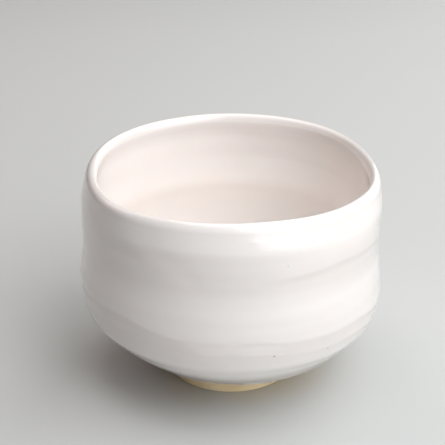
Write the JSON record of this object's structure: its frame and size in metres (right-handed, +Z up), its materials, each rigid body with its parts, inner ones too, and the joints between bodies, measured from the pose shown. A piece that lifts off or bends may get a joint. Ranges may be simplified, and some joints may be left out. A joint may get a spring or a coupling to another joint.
{
  "type": "tea bowl",
  "caption": "Hand-thrown tea bowl with a thick rounded lip, upright wall, trimmed lower wall, white glaze coats and a bare clay foot ring.",
  "frame": {"origin": "centre of the foot ring, on the surface that the bowl stands on", "axes": "+Z up through the mouth, -Z out of the foot's flat face, +Y away from the pictured front, +X to its right"},
  "size_m": [0.1162, 0.1166, 0.0863],
  "materials": {
    "clay": "matte",
    "foot_clay": "matte",
    "white_glaze": "gloss",
    "inside_glaze": "gloss"
  },
  "bodies": {
    "root": {"clay_body": "clay", "foot_ring": "foot_clay", "outer_glaze": "white_glaze", "inner_glaze": "inside_glaze"}
  },
  "joints": []
}
